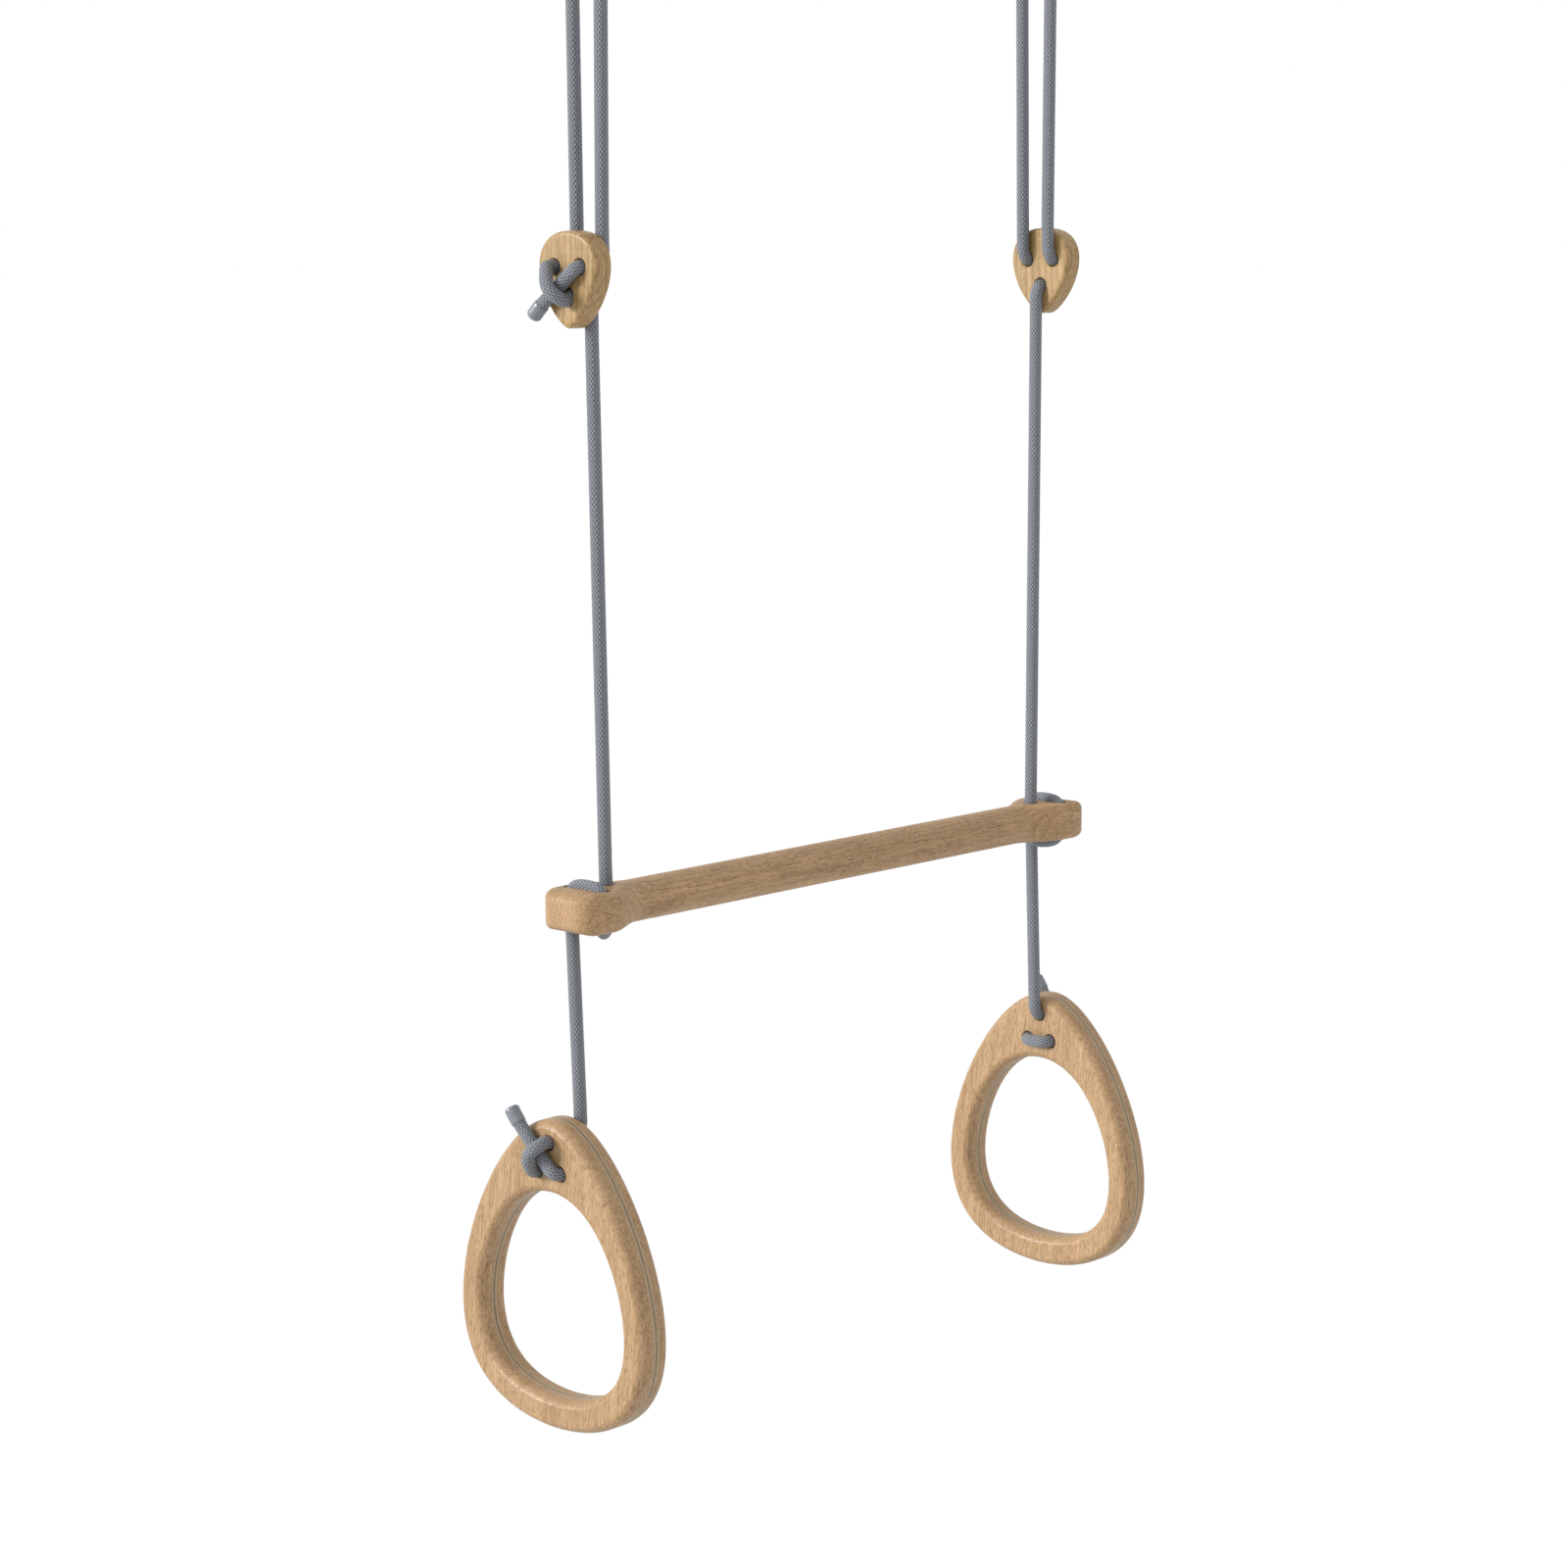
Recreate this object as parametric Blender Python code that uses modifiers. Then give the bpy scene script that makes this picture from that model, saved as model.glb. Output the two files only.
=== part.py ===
"""Trapeze bar with two laminated oak rings, hung on two ropes from two ceiling hangers.

Metres, +Z up. The ceiling is the plane Z = 0 and everything hangs below it.
X runs along the trapeze bar, Y is the way the bar swings. The left and right
halves mirror each other in X = 0: a place is given as (out, y, z), where out
is the distance from that plane.
"""

import math

import bmesh
import bpy
from mathutils import Matrix, Vector
from mathutils.geometry import interpolate_bezier

MM = 0.001
GAP = 0.3 * MM

# Rope
ROPE_R = 5.0 * MM
GROOVE_R = ROPE_R + 0.4 * MM
SLEEVE_R = 5.7 * MM
SLEEVE_LENGTH = 13 * MM

# Ceiling hanger: the rope turns round a roller on a bolt between two ears
HANGER_OUT = 249.5 * MM
PIVOT_Z = -45 * MM
BIGHT_R = 14.6 * MM
PLATE_LENGTH = 72 * MM
PLATE_WIDTH = 36 * MM
PLATE_THICK = 3 * MM
SCREW_HOLE_Y = 26 * MM
SCREW_HOLE_R = 2.6 * MM
EAR_WIDTH = 26 * MM
EAR_THICK = 3 * MM
EAR_GAP = 18 * MM
BOLT_R = 4 * MM
BOLT_CLEAR = 0.3 * MM
HEX_R = 7.5 * MM
HEX_THICK = 5.5 * MM
WASHER_R = 8 * MM
WASHER_THICK = 1.5 * MM
ROLLER_WIDTH = 16.4 * MM
ROLLER_FLANGE_R = 12.5 * MM
ROLLER_RIM = 1.5 * MM

# Rope adjuster: an egg-shaped plate with three holes
ADJUSTER_Z = -294 * MM
ADJUSTER_OUT = 264.2 * MM
ADJUSTER_Y = 1 * MM
ADJUSTER_THICK = 18 * MM
ADJUSTER_EDGE = 3 * MM
ADJUSTER_WIDE = (25.0 * MM, 7.5 * MM, -1.9 * MM)
ADJUSTER_TALL = (36.4 * MM, 2.0 * MM, -2.2 * MM)
ADJUSTER_HOLES = ((12.5 * MM, 11.0 * MM), (-13.5 * MM, 11.0 * MM), (-1.0 * MM, -9.5 * MM))

# Trapeze bar: round in the middle, with a wider flat-topped head at each end
BAR_Z = -745 * MM
BAR_R = 15.8 * MM
HEAD_WIDE = 27.0 * MM
HEAD_TALL = 15.5 * MM
HEAD_CORNER = 7 * MM
HEAD_END = 288 * MM
FLARE_START = 219 * MM
FLARE_END = 261 * MM
END_ROUND = 12 * MM
BAR_HOLE_R = 5.7 * MM
ENTRY_HOLE = (244.8 * MM, 0.0)
FAR_HOLE = (265.0 * MM, 15.5 * MM)
NEAR_HOLE = (264.0 * MM, -15.5 * MM)

# Rings: two thick lamellas glued to a thin core
RING_Z = -1006.8 * MM
RING_OUT = 283.6 * MM
RING_Y = 13.3 * MM
RING_TILT = math.radians(0.5)
RING_THICK = 28.2 * MM
RING_CORE = 5.0 * MM
RING_EDGE = 9.8 * MM
RING_WIDE = (87.1 * MM, -25.2 * MM, -1.0 * MM)
RING_TALL = (122.9 * MM, -9.6 * MM, -5.6 * MM)
OPENING_WIDE = (73.8 * MM, -8.4 * MM, 0.8 * MM)
OPENING_TALL = (79.7 * MM, -0.4 * MM, -2.1 * MM)
OPENING_DROP = 24.4 * MM
HOLE_R = 5.7 * MM
RING_HOLES = ((-2.5 * MM, 91.5 * MM), (9.5 * MM, 69.5 * MM), (-14.5 * MM, 70.0 * MM))

# Where the rope nodes meet, so that each moving body holds its own length of rope
BIGHT_CUT_Z = PIVOT_Z - 12 * MM
ADJUSTER_CUT = 40 * MM
BAR_CUT = 30 * MM
WEAVE_END = 14 * MM
RING_CUT = 118 * MM

SIDES = (("left", -1), ("right", 1))


def clear_scene():
    """Empties the scene and makes the collections for parts and cutters."""
    for obj in list(bpy.data.objects):
        bpy.data.objects.remove(obj, do_unlink=True)
    made = []
    for name in ("gymnastics_rings", "cutters"):
        collection = bpy.data.collections.new(name)
        bpy.context.scene.collection.children.link(collection)
        made.append(collection)
    return made


PARTS, CUTTERS = clear_scene()


def material(name, colour, roughness, metallic=0.0):
    made = bpy.data.materials.new(name)
    made.use_nodes = True
    shader = made.node_tree.nodes["Principled BSDF"]
    shader.inputs["Base Color"].default_value = (*colour, 1.0)
    shader.inputs["Roughness"].default_value = roughness
    shader.inputs["Metallic"].default_value = metallic
    return made


OAK = material("oiled_oak", (0.50, 0.33, 0.19), 0.45)
PALE_OAK = material("pale_oak", (0.62, 0.45, 0.26), 0.5)
CORE_PLY = material("core_ply", (0.36, 0.27, 0.17), 0.55)
ROPE = material("braided_rope", (0.24, 0.27, 0.31), 0.6)
SLEEVE = material("shrink_sleeve", (0.26, 0.29, 0.33), 0.2)
STEEL = material("zinc_steel", (0.62, 0.63, 0.65), 0.3, 1.0)
NYLON = material("nylon", (0.80, 0.79, 0.75), 0.4)


def place(side, out, y, z):
    return Vector((side * out, y, z))


def add_object(name, data, finish, collection=PARTS):
    obj = bpy.data.objects.new(name, data)
    collection.objects.link(obj)
    if finish:
        data.materials.append(finish)
    return obj


def hide_cutter(obj):
    obj.hide_render = True
    obj.display_type = "WIRE"


def as_mesh(curve_object, name, finish=None, collection=PARTS):
    """Replaces a curve by a mesh of the same shape, with its caps welded."""
    bpy.context.view_layer.update()
    graph = bpy.context.evaluated_depsgraph_get()
    mesh = bpy.data.meshes.new_from_object(curve_object.evaluated_get(graph))
    mesh.name = name
    shape = bmesh.new()
    shape.from_mesh(mesh)
    bmesh.ops.remove_doubles(shape, verts=shape.verts, dist=0.01 * MM)
    bmesh.ops.recalc_face_normals(shape, faces=shape.faces)
    shape.to_mesh(mesh)
    shape.free()
    mesh.materials.clear()
    matrix = curve_object.matrix_world.copy()
    bpy.data.objects.remove(curve_object, do_unlink=True)
    obj = add_object(name, mesh, finish, collection)
    obj.matrix_world = matrix
    return obj


def cut(target, cutter):
    """Takes the cutter's shape out of the target."""
    boolean = target.modifiers.new("cut_" + cutter.name, "BOOLEAN")
    boolean.operation = "DIFFERENCE"
    boolean.solver = "EXACT"
    boolean.object = cutter


def shade_round(obj, angle=40):
    obj.data.shade_smooth()
    obj.data.set_sharp_from_angle(angle=math.radians(angle))


# Ropes


def smooth_route(points, spacing):
    """Points at an even spacing along one smooth curve through the route's points."""
    padded = [points[0]] + list(points) + [points[-1]]
    fine = []
    for before, start, end, after in zip(padded, padded[1:], padded[2:], padded[3:]):
        first_handle = start + (end - before) / 6
        second_handle = end - (after - start) / 6
        fine += interpolate_bezier(start, first_handle, second_handle, end, 24)[:-1]
    fine.append(points[-1])
    lengths = [0.0]
    for a, b in zip(fine, fine[1:]):
        lengths.append(lengths[-1] + (b - a).length)
    count = max(1, round(lengths[-1] / spacing))
    route = []
    index = 0
    for step in range(count + 1):
        wanted = lengths[-1] * step / count
        while index < len(fine) - 2 and lengths[index + 1] < wanted:
            index += 1
        span = lengths[index + 1] - lengths[index]
        share = (wanted - lengths[index]) / span if span else 0.0
        route.append(fine[index].lerp(fine[index + 1], min(1.0, share)))
    return route


def tube(name, route, radius, finish, resolution=2, collection=PARTS):
    """A round rod along the route, as a curve with filled caps."""
    data = bpy.data.curves.new(name, "CURVE")
    data.dimensions = "3D"
    data.bevel_depth = radius
    data.bevel_resolution = resolution
    data.use_fill_caps = True
    spline = data.splines.new("POLY")
    spline.points.add(len(route) - 1)
    for point, position in zip(spline.points, route):
        point.co = (*position, 1.0)
    return add_object(name, data, finish, collection)


def rope_groove(name, route):
    """A cutter a little thicker than the rope that will lie along the route."""
    rod = tube(name, route, GROOVE_R, None, 2, CUTTERS)
    cutter = as_mesh(rod, name, None, CUTTERS)
    hide_cutter(cutter)
    return cutter


def round_hole(name, start, end, radius):
    """A cylinder cutter from start to end."""
    cutter = as_mesh(tube(name, (start, end), radius, None, 4, CUTTERS), name, None, CUTTERS)
    hide_cutter(cutter)
    return cutter


# Egg-shaped plates


def egg(wide, tall, count, drop=0.0):
    """An egg outline as (y, z) points: three sine terms across, three cosine terms up."""
    points = []
    for step in range(count):
        turn = 2 * math.pi * step / count
        y = sum(size * math.sin((k + 1) * turn) for k, size in enumerate(wide))
        z = sum(size * math.cos((k + 1) * turn) for k, size in enumerate(tall))
        points.append((y, z - drop))
    return points


def egg_plate(name, outlines, thick, edge, finish):
    """A flat plate with rounded edges, its outline in the YZ plane and its axis along X."""
    data = bpy.data.curves.new(name, "CURVE")
    data.dimensions = "2D"
    data.fill_mode = "BOTH"
    data.extrude = thick / 2 - edge
    data.bevel_depth = edge
    data.bevel_resolution = 2
    data.offset = -edge
    for outline in outlines:
        spline = data.splines.new("POLY")
        spline.points.add(len(outline) - 1)
        spline.use_cyclic_u = True
        for point, (y, z) in zip(spline.points, outline):
            point.co = (y, z, 0.0, 1.0)
    plate = add_object(name, data, None, CUTTERS)
    plate.rotation_euler = (math.pi / 2, 0.0, math.pi / 2)
    return as_mesh(plate, name, finish)


def slab(obj, low, high):
    """Keeps the part of a plate between two heights through its thickness."""
    shape = bmesh.new()
    shape.from_mesh(obj.data)
    for height, normal in ((low, (0, 0, -1)), (high, (0, 0, 1))):
        cut_edges = bmesh.ops.bisect_plane(
            shape,
            geom=shape.verts[:] + shape.edges[:] + shape.faces[:],
            dist=0.001 * MM,
            plane_co=(0, 0, height),
            plane_no=normal,
            clear_outer=True,
        )["geom_cut"]
        edges = [item for item in cut_edges if isinstance(item, bmesh.types.BMEdge)]
        bmesh.ops.triangle_fill(shape, edges=edges, use_beauty=True)
    bmesh.ops.recalc_face_normals(shape, faces=shape.faces)
    shape.to_mesh(obj.data)
    shape.free()


# Ceiling hangers


def box(name, size, centre, finish, collection=PARTS):
    shape = bmesh.new()
    bmesh.ops.create_cube(shape, size=1.0)
    bmesh.ops.scale(shape, vec=size, verts=shape.verts)
    bmesh.ops.translate(shape, vec=centre, verts=shape.verts)
    mesh = bpy.data.meshes.new(name)
    shape.to_mesh(mesh)
    shape.free()
    return add_object(name, mesh, finish, collection)


def disc(name, radius, x_from, x_to, centre, sides, finish, collection=PARTS):
    """A cylinder or prism along X."""
    shape = bmesh.new()
    bmesh.ops.create_cone(
        shape,
        cap_ends=True,
        segments=sides,
        radius1=radius,
        radius2=radius,
        depth=abs(x_to - x_from),
        matrix=Matrix.Translation(((x_from + x_to) / 2, *centre)) @ Matrix.Rotation(math.pi / 2, 4, "Y"),
    )
    mesh = bpy.data.meshes.new(name)
    shape.to_mesh(mesh)
    shape.free()
    return add_object(name, mesh, finish, collection)


def join(target, other):
    union = target.modifiers.new("join_" + other.name, "BOOLEAN")
    union.operation = "UNION"
    union.solver = "EXACT"
    union.object = other
    hide_cutter(other)


def hanger_bracket(label, side):
    """A base plate with two round-ended ears that hold the roller's bolt."""
    x = side * HANGER_OUT
    plate_size = (PLATE_WIDTH, PLATE_LENGTH, PLATE_THICK)
    bracket = box(f"{label}_hanger_bracket", plate_size, (x, 0, -PLATE_THICK / 2), STEEL)
    for end in (-1, 1):
        ear_x = x + end * (EAR_GAP + EAR_THICK) / 2
        ear_size = (EAR_THICK, EAR_WIDTH, -PIVOT_Z - PLATE_THICK / 2)
        ear_centre = (ear_x, 0, (PIVOT_Z - PLATE_THICK / 2) / 2)
        ear = box(f"{label}_ear_{end}", ear_size, ear_centre, None, CUTTERS)
        join(bracket, ear)
        low, high = ear_x - EAR_THICK / 2, ear_x + EAR_THICK / 2
        tip = disc(f"{label}_ear_tip_{end}", EAR_WIDTH / 2, low, high, (0, PIVOT_Z), 20, None, CUTTERS)
        join(bracket, tip)
        above = Vector((x, end * SCREW_HOLE_Y, PLATE_THICK))
        below = Vector((x, end * SCREW_HOLE_Y, -2 * PLATE_THICK))
        cut(bracket, round_hole(f"{label}_screw_hole_{end}", above, below, SCREW_HOLE_R))
    reach = EAR_GAP / 2 + 2 * EAR_THICK
    pin_hole = disc(
        f"{label}_pin_hole", BOLT_R + BOLT_CLEAR, x - reach, x + reach, (0, PIVOT_Z), 12, None, CUTTERS
    )
    hide_cutter(pin_hole)
    cut(bracket, pin_hole)
    return bracket


def ring_washer(name, outer, x_from, x_to, sides, finish):
    """A washer or nut on the bolt."""
    washer = disc(name, outer, x_from, x_to, (0, PIVOT_Z), sides, finish)
    reach = abs(x_to - x_from)
    low, high = min(x_from, x_to) - reach, max(x_from, x_to) + reach
    bore = disc(name + "_bore", BOLT_R + BOLT_CLEAR, low, high, (0, PIVOT_Z), 12, None, CUTTERS)
    hide_cutter(bore)
    cut(washer, bore)
    return washer


def hanger_fasteners(label, side):
    """Bolt with its head on the outer side, a washer under the head and one under the nut."""
    x = side * HANGER_OUT
    face = EAR_GAP / 2 + EAR_THICK + GAP
    washer_end = face + WASHER_THICK
    nut_start = washer_end + GAP
    ring_washer(
        f"{label}_hanger_washer_outer", WASHER_R, x + side * face, x + side * washer_end, 16, STEEL
    )
    ring_washer(
        f"{label}_hanger_washer_inner", WASHER_R, x - side * face, x - side * washer_end, 16, STEEL
    )
    ring_washer(
        f"{label}_hanger_nut", HEX_R, x - side * nut_start, x - side * (nut_start + HEX_THICK), 6, STEEL
    )
    name = f"{label}_hanger_bolt"
    head_from, head_to = x + side * nut_start, x + side * (nut_start + HEX_THICK)
    bolt = disc(name, HEX_R, head_from, head_to, (0, PIVOT_Z), 6, STEEL)
    shank_from = x + side * (nut_start + HEX_THICK / 2)
    shank_to = x - side * (nut_start + HEX_THICK + 2 * MM)
    shank = disc(name + "_shank", BOLT_R, shank_from, shank_to, (0, PIVOT_Z), 12, None, CUTTERS)
    join(bolt, shank)


def hanger_roller(label, side):
    """A grooved nylon roller, turned about the bolt."""
    half = ROLLER_WIDTH / 2
    bore = BOLT_R + BOLT_CLEAR
    profile = [(bore, half), (ROLLER_FLANGE_R, half), (ROLLER_FLANGE_R, half - ROLLER_RIM)]
    for step in range(6):
        turn = math.pi * (0.5 + step) / 6
        across = -math.cos(turn) * GROOVE_R
        depth = math.sin(turn) * GROOVE_R
        if BIGHT_R - depth < ROLLER_FLANGE_R:
            profile.append((BIGHT_R - depth, across))
    profile.sort(key=lambda point: -point[1])
    profile += [(ROLLER_FLANGE_R, ROLLER_RIM - half), (ROLLER_FLANGE_R, -half), (bore, -half)]
    mesh = bpy.data.meshes.new(f"{label}_hanger_roller")
    edges = [(k, (k + 1) % len(profile)) for k in range(len(profile))]
    mesh.from_pydata([(radius, 0.0, height) for radius, height in profile], edges, [])
    roller = add_object(f"{label}_hanger_roller", mesh, NYLON)
    roller.location = (side * HANGER_OUT, 0.0, PIVOT_Z)
    roller.rotation_euler = (0.0, math.pi / 2, 0.0)
    turned = roller.modifiers.new("turned", "SCREW")
    turned.steps = 20
    turned.render_steps = 20
    turned.use_merge_vertices = True
    turned.merge_threshold = 0.0001
    return roller


# Adjusters


def adjuster(label, side, grooves):
    outline = egg(ADJUSTER_WIDE, ADJUSTER_TALL, 36)
    plate = egg_plate(f"{label}_adjuster", [outline], ADJUSTER_THICK, ADJUSTER_EDGE, PALE_OAK)
    plate.location = (side * ADJUSTER_OUT, ADJUSTER_Y, ADJUSTER_Z)
    reach = ADJUSTER_THICK
    for number, (y, z) in enumerate(ADJUSTER_HOLES):
        start = place(side, ADJUSTER_OUT - reach, ADJUSTER_Y + y, ADJUSTER_Z + z)
        end = place(side, ADJUSTER_OUT + reach, ADJUSTER_Y + y, ADJUSTER_Z + z)
        cut(plate, round_hole(f"{label}_adjuster_hole_{number}", start, end, HOLE_R))
    for groove in grooves:
        cut(plate, groove)
    shade_round(plate)


def adjuster_point(side, proud, y, z):
    """A rope point by its height over the adjuster's outer face."""
    return place(side, ADJUSTER_OUT + ADJUSTER_THICK / 2 + proud, ADJUSTER_Y + y, ADJUSTER_Z + z)


def adjuster_routes(side):
    """The rope through the far and lower holes, and the tail through the near hole."""
    inside = -ADJUSTER_THICK - ROPE_R - GAP
    loop = (
        (inside, 12.7, 40),
        (inside, 12.6, 27),
        (inside + 0.4 * MM, 12.5, 18.6),
        (inside + 4.2 * MM, 12.5, 12.2),
        (-13.0 * MM, 12.5, 11),
        (-6.0 * MM, 12.5, 11),
        (1.0 * MM, 13.0, 11.4),
        (6.2 * MM, 12.9, 10.4),
        (11.0 * MM, 10.6, 7.0),
        (14.6 * MM, 7.0, 2.0),
        (15.8 * MM, 3.0, -3.0),
        (14.7 * MM, -1.0, -7.1),
        (11.3 * MM, -3.6, -10.2),
        (5.4 * MM, -3.0, -12.1),
        (0.4 * MM, -1.6, -10.6),
        (-6.0 * MM, -1.0, -9.5),
        (-13.0 * MM, -1.0, -9.5),
        (inside + 4.2 * MM, -1.0, -10.7),
        (inside + 0.4 * MM, -1.0, -17.1),
        (inside, -1.0, -25.5),
        (inside, -1.0, -40),
    )
    tail = (
        (inside, -13.1, 40),
        (inside, -13.2, 27),
        (inside + 0.4 * MM, -13.4, 18.6),
        (inside + 4.2 * MM, -13.5, 12.2),
        (-13.0 * MM, -13.5, 11),
        (-6.0 * MM, -13.5, 11),
        (0.6 * MM, -13.3, 10.6),
        (4.6 * MM, -10.9, 7.6),
        (5.4 * MM, -5.8, 3.2),
        (5.4 * MM, -0.6, -0.9),
        (5.4 * MM, 6.8, -6.4),
        (5.7 * MM, 14.5, -12.0),
        (6.7 * MM, 21.3, -18.3),
        (7.8 * MM, 27.4, -25.0),
    )
    return [
        [adjuster_point(side, proud, y * MM, z * MM) for proud, y, z in points]
        for points in (loop, tail)
    ]


# Trapeze bar


def rounded_section(wide, tall, corner, count=24):
    """A rectangle with round corners in the YZ plane, as evenly turned (y, z) points."""
    points = []
    for step in range(count):
        turn = 2 * math.pi * (step + 0.5) / count
        y = math.copysign(wide - corner, math.cos(turn)) + corner * math.cos(turn)
        z = math.copysign(tall - corner, math.sin(turn)) + corner * math.sin(turn)
        points.append((y, z))
    return points


def head_half_width(out):
    """The bar's half width across: it flares smoothly from the round bar to the head."""
    share = min(1.0, max(0.0, (out - FLARE_START) / (FLARE_END - FLARE_START)))
    blend = share * share * (3 - 2 * share)
    corner = BAR_R + (HEAD_CORNER - BAR_R) * blend
    return (
        BAR_R + (HEAD_WIDE - BAR_R) * blend,
        BAR_R + (HEAD_TALL - BAR_R) * blend,
        min(corner, BAR_R + (HEAD_TALL - BAR_R) * blend),
    )


def bar_stations():
    """(out, half width, half height, corner radius) from the middle of the bar to its end."""
    stations = []
    for out in (0.0, FLARE_START * 0.5, FLARE_START):
        stations.append((out, *head_half_width(out)))
    for step in range(1, 8):
        out = FLARE_START + (FLARE_END - FLARE_START) * step / 7
        stations.append((out, *head_half_width(out)))
    for step in range(5):
        turn = math.radians(90 * step / 4)
        sink = END_ROUND * (1 - math.cos(turn))
        shallow = sink * HEAD_CORNER / END_ROUND
        out = HEAD_END - END_ROUND + END_ROUND * math.sin(turn)
        corner = max(HEAD_CORNER - shallow, 2 * MM)
        stations.append((out, HEAD_WIDE - sink, HEAD_TALL - shallow, corner))
    return stations


def trapeze_bar(grooves):
    """A loft through rounded sections, then drilled and grooved for the ropes."""
    shape = bmesh.new()
    half = bar_stations()
    stations = [(-out, *size) for out, *size in reversed(half[1:])] + half
    rows = []
    for out, wide, tall, corner in stations:
        section = rounded_section(wide, tall, corner)
        rows.append([shape.verts.new((out, y, BAR_Z + z)) for y, z in section])
    for row, following in zip(rows, rows[1:]):
        for k in range(len(row)):
            after = (k + 1) % len(row)
            shape.faces.new((row[k], row[after], following[after], following[k]))
    shape.faces.new(rows[0])
    shape.faces.new(rows[-1])
    bmesh.ops.recalc_face_normals(shape, faces=shape.faces)
    mesh = bpy.data.meshes.new("trapeze_bar")
    shape.to_mesh(mesh)
    shape.free()
    bar = add_object("trapeze_bar", mesh, OAK)
    for label, side in SIDES:
        for number, (out, y) in enumerate((ENTRY_HOLE, FAR_HOLE, NEAR_HOLE)):
            above = place(side, out, y, BAR_Z + 2 * HEAD_TALL)
            below = place(side, out, y, BAR_Z - 2 * HEAD_TALL)
            cut(bar, round_hole(f"{label}_bar_hole_{number}", above, below, BAR_HOLE_R))
    for groove in grooves:
        cut(bar, groove)
    shade_round(bar)


def weave_route(side):
    """Down the entry hole, under to the near hole, over to the far hole and down."""
    points = (
        (245.3, 0.0, 30),
        (245.0, 0.0, 18),
        (244.8, 0.0, 6),
        (244.8, 0.0, -5),
        (245.4, -0.4, -12.0),
        (248.4, -2.9, -16.2),
        (254.0, -7.4, -17.3),
        (259.6, -11.9, -16.4),
        (263.0, -14.7, -12.4),
        (264.0, -15.5, -5),
        (264.0, -15.5, 6),
        (264.0, -14.8, 12.2),
        (264.2, -11.6, 16.2),
        (264.4, -6.2, 17.4),
        (264.5, 0.0, 17.6),
        (264.6, 6.2, 17.4),
        (264.8, 11.6, 16.2),
        (265.0, 14.8, 12.2),
        (265.0, 15.5, 6),
        (265.0, 15.5, -5),
        (265.0, 15.5, -WEAVE_END / MM),
    )
    return [place(side, out * MM, y * MM, BAR_Z + z * MM) for out, y, z in points]


# Rings


def ring_point(side, proud, y, z):
    """A rope point by its height over the ring's outer face."""
    return place(side, RING_OUT + RING_THICK / 2 + proud, RING_Y + y, RING_Z + z)


def ring_knot_route(side):
    """Out through the upper hole, back through the far one, out again and under itself."""
    inside = -RING_THICK - ROPE_R - GAP
    points = (
        (inside, -1.9, RING_CUT / MM),
        (inside, -2.2, 107),
        (inside + 0.4 * MM, -2.4, 99.1),
        (inside + 4.2 * MM, -2.5, 92.7),
        (-22.0 * MM, -2.5, 91.5),
        (-14.1 * MM, -2.5, 91.5),
        (-6.0 * MM, -2.5, 91.5),
        (0.4 * MM, -3.1, 92.4),
        (5.5 * MM, -4.8, 93.4),
        (11.4 * MM, -4.7, 91.6),
        (14.8 * MM, -1.5, 88.9),
        (15.9 * MM, 2.2, 84.9),
        (14.4 * MM, 4.9, 79.4),
        (11.0 * MM, 7.2, 74.4),
        (6.0 * MM, 9.3, 70.4),
        (0.8 * MM, 9.8, 69.1),
        (-6.0 * MM, 9.5, 69.5),
        (-14.1 * MM, 9.5, 69.5),
        (-22.0 * MM, 9.5, 69.5),
        (inside + 4.4 * MM, 8.6, 69.5),
        (inside + 0.7 * MM, 4.6, 69.6),
        (inside, -2.5, 69.7),
        (inside + 0.7 * MM, -9.6, 69.9),
        (inside + 4.4 * MM, -13.6, 70),
        (-22.0 * MM, -14.5, 70),
        (-14.1 * MM, -14.5, 70),
        (-6.0 * MM, -14.5, 70),
        (0.4 * MM, -14.4, 70.3),
        (4.6 * MM, -12.1, 72.2),
        (5.4 * MM, -5.6, 78.0),
        (5.4 * MM, 0.7, 84.0),
        (5.4 * MM, 9.9, 92.2),
        (5.8 * MM, 18.5, 100.9),
        (6.4 * MM, 23.6, 107.2),
        (6.8 * MM, 28.9, 114.4),
    )
    return [ring_point(side, proud, y * MM, z * MM) for proud, y, z in points]


def ring(label, side, groove):
    """Two thick lamellas and the core between them, drilled together."""
    core = RING_CORE / 2
    layers = (
        ("inner_lamella", -RING_THICK, -core - GAP, OAK),
        ("core", -core, core, CORE_PLY),
        ("outer_lamella", core + GAP, RING_THICK, OAK),
    )
    for layer, low, high, finish in layers:
        outlines = [egg(RING_WIDE, RING_TALL, 48), egg(OPENING_WIDE, OPENING_TALL, 38, OPENING_DROP)]
        piece = egg_plate(f"{label}_ring_{layer}", outlines, RING_THICK, RING_EDGE, finish)
        if side > 0:
            slab(piece, low, high)
        else:
            slab(piece, -high, -low)
        piece.location = (side * RING_OUT, RING_Y, RING_Z)
        piece.rotation_euler = (math.pi / 2 + RING_TILT, 0.0, math.pi / 2)
        for number, (y, z) in enumerate(RING_HOLES):
            start = place(side, RING_OUT - RING_THICK, RING_Y + y, RING_Z + z)
            end = place(side, RING_OUT + RING_THICK, RING_Y + y, RING_Z + z)
            cut(piece, round_hole(f"{label}_{layer}_hole_{number}", start, end, HOLE_R))
        cut(piece, groove)
        shade_round(piece)


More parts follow.
